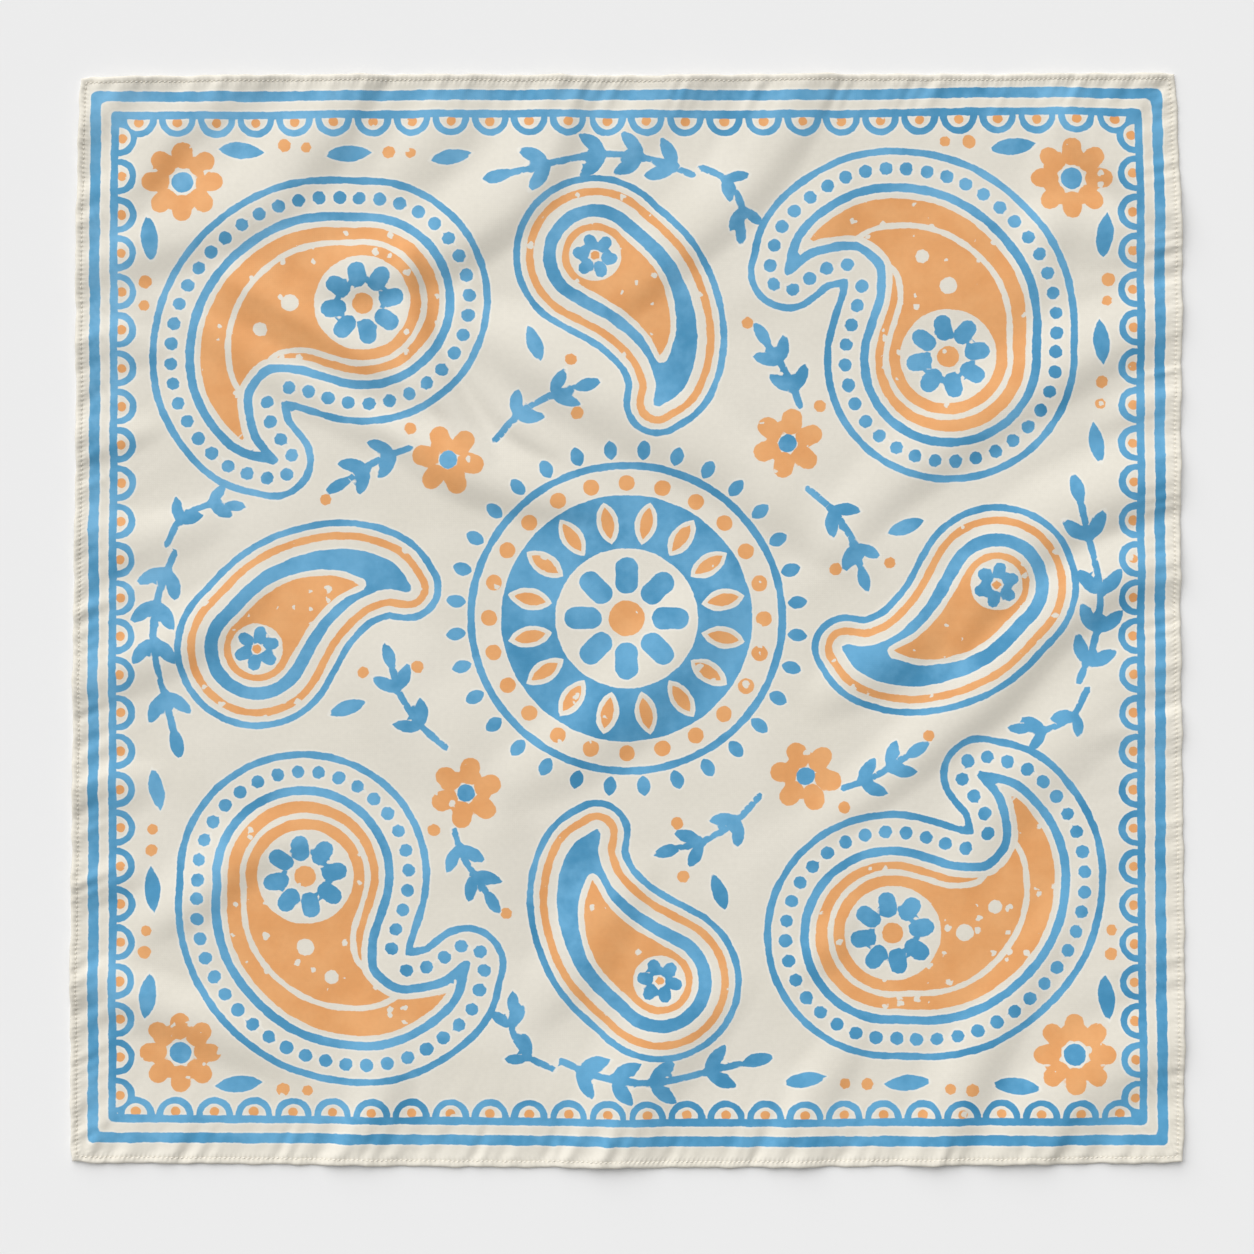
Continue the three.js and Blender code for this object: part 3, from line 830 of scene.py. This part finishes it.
class Nodes:
    """A short way to add and join a material's nodes."""

    def __init__(self, name):
        self.material = bpy.data.materials.new(name)
        self.material.use_nodes = True
        self.tree = self.material.node_tree
        self.shader = self.tree.nodes["Principled BSDF"]

    def add(self, kind, settings=None, **inputs):
        """A node with its settings and inputs, by name or, as i0, by number."""
        node = self.tree.nodes.new(kind)
        for key, value in (settings or {}).items():
            setattr(node, key, value)
        for key, value in inputs.items():
            numbered = key[0] == "i" and key[1:].isdigit()
            self.put(node.inputs[int(key[1:]) if numbered else key.replace("_", " ")], value)
        return node

    def put(self, socket, value):
        if isinstance(value, bpy.types.NodeSocket):
            self.tree.links.new(value, socket)
        else:
            socket.default_value = value

    def math(self, operation, a, b=0.0, c=0.0, clamp=False):
        node = self.add("ShaderNodeMath", {"operation": operation, "use_clamp": clamp}, i0=a, i1=b, i2=c)
        return node.outputs[0]

    def noise(self, at, scale, detail):
        return self.add("ShaderNodeTexNoise", Vector=at, Scale=scale, Detail=detail).outputs[0]

    def swing(self, value, size):
        """A value from 0 to 1 spread evenly about 0."""
        return self.math("MULTIPLY_ADD", value, size, -size / 2)

    def value(self, name):
        return self.add("ShaderNodeAttribute", {"attribute_name": name}).outputs["Fac"]

    def ramp(self, value, low, high, top=1.0):
        """Smoothly from 0 at `low` to `top` at `high`."""
        settings = {"interpolation_type": "SMOOTHSTEP"}
        node = self.add("ShaderNodeMapRange", settings, Value=value, From_Min=low, From_Max=high, To_Max=top)
        return node.outputs[0]

    def mix(self, share, a, b, blend="MIX"):
        node = self.add("ShaderNodeMix", {"data_type": "RGBA", "blend_type": blend})
        self.put(node.inputs[0], share)
        self.put(node.inputs[6], a)
        self.put(node.inputs[7], b)
        return node.outputs[2]

    def surface(self, **inputs):
        """Sets or joins the shader's own sockets."""
        for key, value in inputs.items():
            self.put(self.shader.inputs[key.replace("_", " ")], value)
        return self.material


def drawn_inks(n, at):
    """Distances to the blue and the orange ink in millimetres, from the flat map and the cloth's values.
    A band is |distance to its outline - offset| - half width; rings of petals fold the angle round the
    middle into one sector."""
    out_of = {"-": "SUBTRACT", "+": "ADD", "*": "MULTIPLY", "min": "MINIMUM", "max": "MAXIMUM"}

    def do(first, *steps):
        for sign, value in steps:
            first = n.math(out_of[sign], first, value)
        return first

    def band(distance, offset, half):
        return do(n.math("ABSOLUTE", do(distance, ("-", offset))), ("-", half))

    def least(*shapes):
        return do(shapes[0], *[("min", one) for one in shapes[1:]])

    def without(shape, hole):
        return do(shape, ("max", do(hole, ("*", -1))))

    def far(a, b):
        together = n.add("ShaderNodeCombineXYZ", X=a, Y=b)
        return n.add("ShaderNodeVectorMath", {"operation": "LENGTH"}, i0=together.outputs[0]).outputs["Value"]

    p, q = (do(axis, ("*", 1 / MM)) for axis in n.add("ShaderNodeSeparateXYZ", Vector=at).outputs[:2])
    ring, angle = far(p, q), n.math("ARCTAN2", q, p)

    def sector(count, turn):
        folded = n.math("PINGPONG", do(angle, ("-", np.radians(turn))), TURN / count / 2)
        return do(n.math("COSINE", folded), ("*", ring)), do(n.math("SINE", folded), ("*", ring))

    def round_petals(count, start, end, radius):
        along, across = sector(count, 0)
        return do(far(do(along, ("-", do(along, ("max", start), ("min", end)))), across), ("-", radius))

    def leaves(count, start, end, width):
        along, across = sector(count, 180 / count)
        circle = ((end - start) ** 2 + width**2) / (4 * width)
        middle = do(along, ("-", (start + end) / 2))
        return do(far(middle, do(across, ("+", circle - width / 2))), ("-", circle))

    # the round piece in the middle, from its centre outwards, in millimetres after each count
    blue = [round_petals(8, 18, 25.5, 5.6), without(band(ring, 49, 13.5), leaves(16, 38, 60, 11))]
    blue += [band(ring, 77.5, 1.9), leaves(32, 80.5, 90.5, 6.6)]
    orange = [do(ring, ("-", 9)), leaves(16, 41, 57, 6.2), round_petals(24, 68.5, 68.5, 4.0)]

    # half rings that stand on the inner line, each with a dot
    out_p, out_q = n.math("ABSOLUTE", p), n.math("ABSOLUTE", q)
    inwards = n.math("SUBTRACT", FIELD_HALF, do(out_p, ("max", out_q)))
    beside = n.math("GREATER_THAN", out_p, out_q)
    along = do(p, ("+", do(q, ("-", p), ("*", beside))))
    half_pitch = FIELD_HALF / ARCS
    part = n.math("SUBTRACT", half_pitch, n.math("PINGPONG", along, half_pitch))
    blue.append(without(band(far(part, inwards), 7.5, 1.7), do(inwards, ("+", 1.5))))
    orange.append(do(far(part, do(inwards, ("-", 1.8))), ("-", 2.4)))

    # large and small droplets: outline, body with a cream line and windows, and lines round them
    large, small, heart = n.value("large_drop"), n.value("small_drop"), n.value("small_heart")
    window = n.value("window")
    blue += [band(large, -2.2, 2.2), band(large, 16.2, 1.8)]
    body = without(do(large, ("+", 7.6)), band(n.value("large_heart"), 0, 1.5))
    orange.append(without(body, window))
    blue += [without(small, do(heart, ("-", 1.5))), band(small, 13.2, 1.7)]
    orange += [without(do(heart, ("+", 1.5)), window), band(small, 6.6, 1.9)]

    # border lines, with rounded corners
    outwards = n.math("SMOOTH_MAX", out_p, out_q, 5)
    for outside, width in ((PRINT_HALF, OUTER_LINE), (INNER_HALF, INNER_LINE)):
        blue.append(band(outwards, outside - width / 2, width / 2))
    return least(n.value("blue"), *blue), least(n.value("orange"), *orange)


def printed_cotton():
    """Cream cotton with inks: distance to each ink's edge, made uneven by noise, decides where it shows."""
    n = Nodes("printed_cotton")
    at = n.add("ShaderNodeUVMap", {"uv_map": "flat"}).outputs[0]
    wobble = n.math("ADD", *(n.swing(n.noise(at, scale, detail), size) for scale, detail, size in RAGGED))
    broad, patches, middle, small, fine = (n.noise(at, *each) for each in NOISES)
    face, inset, stitch = n.value("face"), n.value("inset"), n.value("stitch")

    # colours of the cotton and the inks; the blue darkens from corner to corner, partly painted shade
    cream = n.mix(n.ramp(broad, 0.35, 0.7), CREAM, CREAM_SHADE)
    orange = n.mix(n.ramp(middle, 0.3, 0.7), ORANGE, ORANGE_PALE)
    mottled = n.math("ADD", patches, n.swing(small, 0.3))
    blue = n.mix(n.ramp(mottled, 0.28, 0.72), BLUE_DEEP, BLUE_PALE)
    blue = n.mix(n.math("MULTIPLY_ADD", n.ramp(broad, 0.35, 0.65), 0.4, 0.08), blue, BLUE)
    across, up = n.add("ShaderNodeSeparateXYZ", Vector=at).outputs[:2]
    down_right = n.math("MULTIPLY_ADD", n.math("SUBTRACT", across, up), 0.25 / (PRINT_HALF * MM), 0.5)
    blue = n.mix(1.0, blue, n.mix(down_right, THIN_INK_AND_PAINTED_LIGHT, THICK_INK_AND_PAINTED_SHADE), "MULTIPLY")

    # painted shade: darker holes at the stitches and a darker band along the groove inside the hem; the dents
    # at the stitches are bump
    leaning = n.math("MULTIPLY_ADD", n.math("SUBTRACT", inset, STITCH_INSET), 0.25, stitch)
    wave = n.math("COSINE", n.math("MULTIPLY", leaning, TURN))
    off = n.math("ABSOLUTE", n.math("SUBTRACT", inset, STITCH_INSET + 0.2))
    hole = n.math("MULTIPLY", n.ramp(wave, 0.1, -0.9), n.ramp(off, 1.3, 0.2, 0.45))
    dent = n.math("MULTIPLY", wave, n.ramp(off, 3.2, 0.3))
    band = n.math("MULTIPLY", n.ramp(inset, 1.2, 2.4), n.ramp(inset, 4.2, 3.0, 0.2))
    cream = n.mix(n.math("MULTIPLY", n.math("MAXIMUM", hole, band), face), cream, HEM_PAINTED_SHADE)

    # where each ink shows, blurred where it shows through to the underside
    blue_edge, orange_edge = (n.math("ADD", edge, wobble) for edge in drawn_inks(n, at))
    blur = n.math("MULTIPLY_ADD", face, TOP_BLUR - UNDER_BLUR, UNDER_BLUR)
    blue_ink, orange_ink = (
        n.math("MULTIPLY_ADD", n.math("DIVIDE", edge, blur), -0.5, 0.5, clamp=True)
        for edge in (blue_edge, orange_edge)
    )

    # worn flecks where the orange is missing: uneven cells, each with its own chance and size
    bend = n.add("ShaderNodeTexNoise", Vector=at, Scale=FLECK_NOISE, Detail=1.0).outputs[1]
    bent = n.add(
        "ShaderNodeVectorMath", {"operation": "MULTIPLY_ADD"}, i0=bend, i1=(FLECK_BEND, FLECK_BEND, 0), i2=at
    ).outputs[0]
    cells = n.add("ShaderNodeTexVoronoi", {"voronoi_dimensions": "2D"}, Vector=bent, Scale=FLECK_CELLS)
    chance = n.add("ShaderNodeSeparateColor", Color=cells.outputs["Color"]).outputs[0]
    often = n.ramp(n.math("MULTIPLY_ADD", broad, 0.9, chance), 1.10, 1.45)
    size = n.math("MULTIPLY_ADD", often, 0.26, -0.04)
    worn = n.ramp(n.math("SUBTRACT", cells.outputs["Distance"], size), -0.03, 0.03)
    orange_ink = n.math("MULTIPLY", orange_ink, worn)

    # cotton, a pale fringe beside the blue, orange, blue, and the fine grain over all
    fringe = n.math("MULTIPLY", n.ramp(blue_edge, 1.3, 0.4), n.math("MULTIPLY", face, 0.55))
    through = n.math("MULTIPLY_ADD", face, 1 - SHOW_THROUGH, SHOW_THROUGH)
    colour = n.mix(fringe, cream, CREAM_FRINGE)
    colour = n.mix(n.math("MULTIPLY", orange_ink, through), colour, orange)
    colour = n.mix(n.math("MULTIPLY", blue_ink, through), colour, blue)
    grain = n.math("MULTIPLY_ADD", fine, 0.10, 0.95)
    grain = n.add("ShaderNodeCombineColor", Red=grain, Green=grain, Blue=grain).outputs[0]
    colour = n.mix(1.0, colour, grain, "MULTIPLY")

    # relief: threads both ways with the grain on them, then the dents at the stitches
    threads = {"Vector": at, "Scale": THREADS, "Distortion": 1.2, "Detail": 2.0}
    thread, cross = (n.add("ShaderNodeTexWave", {"bands_direction": way}, **threads) for way in "XY")
    weave = n.math("MULTIPLY", thread.outputs[1], cross.outputs[1])
    height = n.math("ADD", n.math("MULTIPLY", weave, 0.5), n.math("MULTIPLY", fine, 0.7))
    bump = n.add("ShaderNodeBump", Strength=0.35, Distance=0.00012, Height=height)
    dents = n.add("ShaderNodeBump", Strength=1.0, Distance=0.00006, Height=dent, Normal=bump.outputs[0])
    n.surface(Base_Color=colour, Normal=dents.outputs[0], Roughness=0.62, Specular_IOR_Level=0.35)
    return n.surface(Sheen_Weight=0.12, Sheen_Roughness=0.4)


def sewing_thread():
    """Cream cotton thread, twisted: a fine slanted wave for the plies, with painted shade in the grooves
    between them.
    """
    n = Nodes("sewing_thread")
    at = n.add("ShaderNodeTexCoord").outputs["Object"]
    ply = n.add("ShaderNodeTexWave", {"bands_direction": "DIAGONAL"}, Vector=at, Scale=PLIES, Distortion=0.6)
    ply = ply.outputs[1]
    bump = n.add("ShaderNodeBump", Strength=0.4, Distance=0.0001, Height=ply)
    return n.surface(Base_Color=n.mix(ply, THREAD_GROOVE_SHADE, THREAD), Normal=bump.outputs[0], Roughness=0.7)


# Floor and light

FLOOR_HALF = 3000.0


def add_floor():
    """A plain pale surface, far wider than the view."""
    far = FLOOR_HALF
    corners = [(-far, -far, 0), (far, -far, 0), (far, far, 0), (-far, far, 0)]
    floor = make_mesh("floor", corners, [(0, 1, 2), (0, 2, 3)], smooth=False)
    n = Nodes("pale_floor")
    n.surface(Base_Color=FLOOR_GREY, Roughness=0.9, Specular_IOR_Level=0.1)
    floor.data.materials.append(n.material)


KEY_AZIMUTH = 120.0  # counted from +X towards +Y
KEY_ELEVATION = 42.0
KEY_SPREAD = 80.0
KEY_STRENGTH = 3.72
FILL = 0.24


def add_light():
    """One wide soft light from the top left, and an even grey fill."""
    data = bpy.data.lights.new("soft_key", "SUN")
    data.energy = KEY_STRENGTH
    data.angle = np.radians(KEY_SPREAD)
    light = bpy.data.objects.new("soft_key", data)
    azimuth, elevation = np.radians(KEY_AZIMUTH), np.radians(KEY_ELEVATION)
    light.rotation_euler = (0, np.pi / 2 - elevation, azimuth)
    bpy.context.scene.collection.objects.link(light)
    world = bpy.data.worlds.new("studio")
    world.use_nodes = True
    back = world.node_tree.nodes["Background"]
    back.inputs[0].default_value = (1, 1, 1, 1)
    back.inputs[1].default_value = FILL
    bpy.context.scene.world = world
    bpy.context.scene.view_settings.view_transform = "Standard"


# Put together

add_floor()
add_light()

cotton = printed_cotton()
cloth = cloth_piece()
hem = hem_piece()
stitches = stitches_piece()
cloth.data.materials.append(cotton)
hem.data.materials.append(cotton)
stitches.data.materials.append(sewing_thread())

for piece in (cloth, hem, stitches):
    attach(piece, "root")
    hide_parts("cloth")
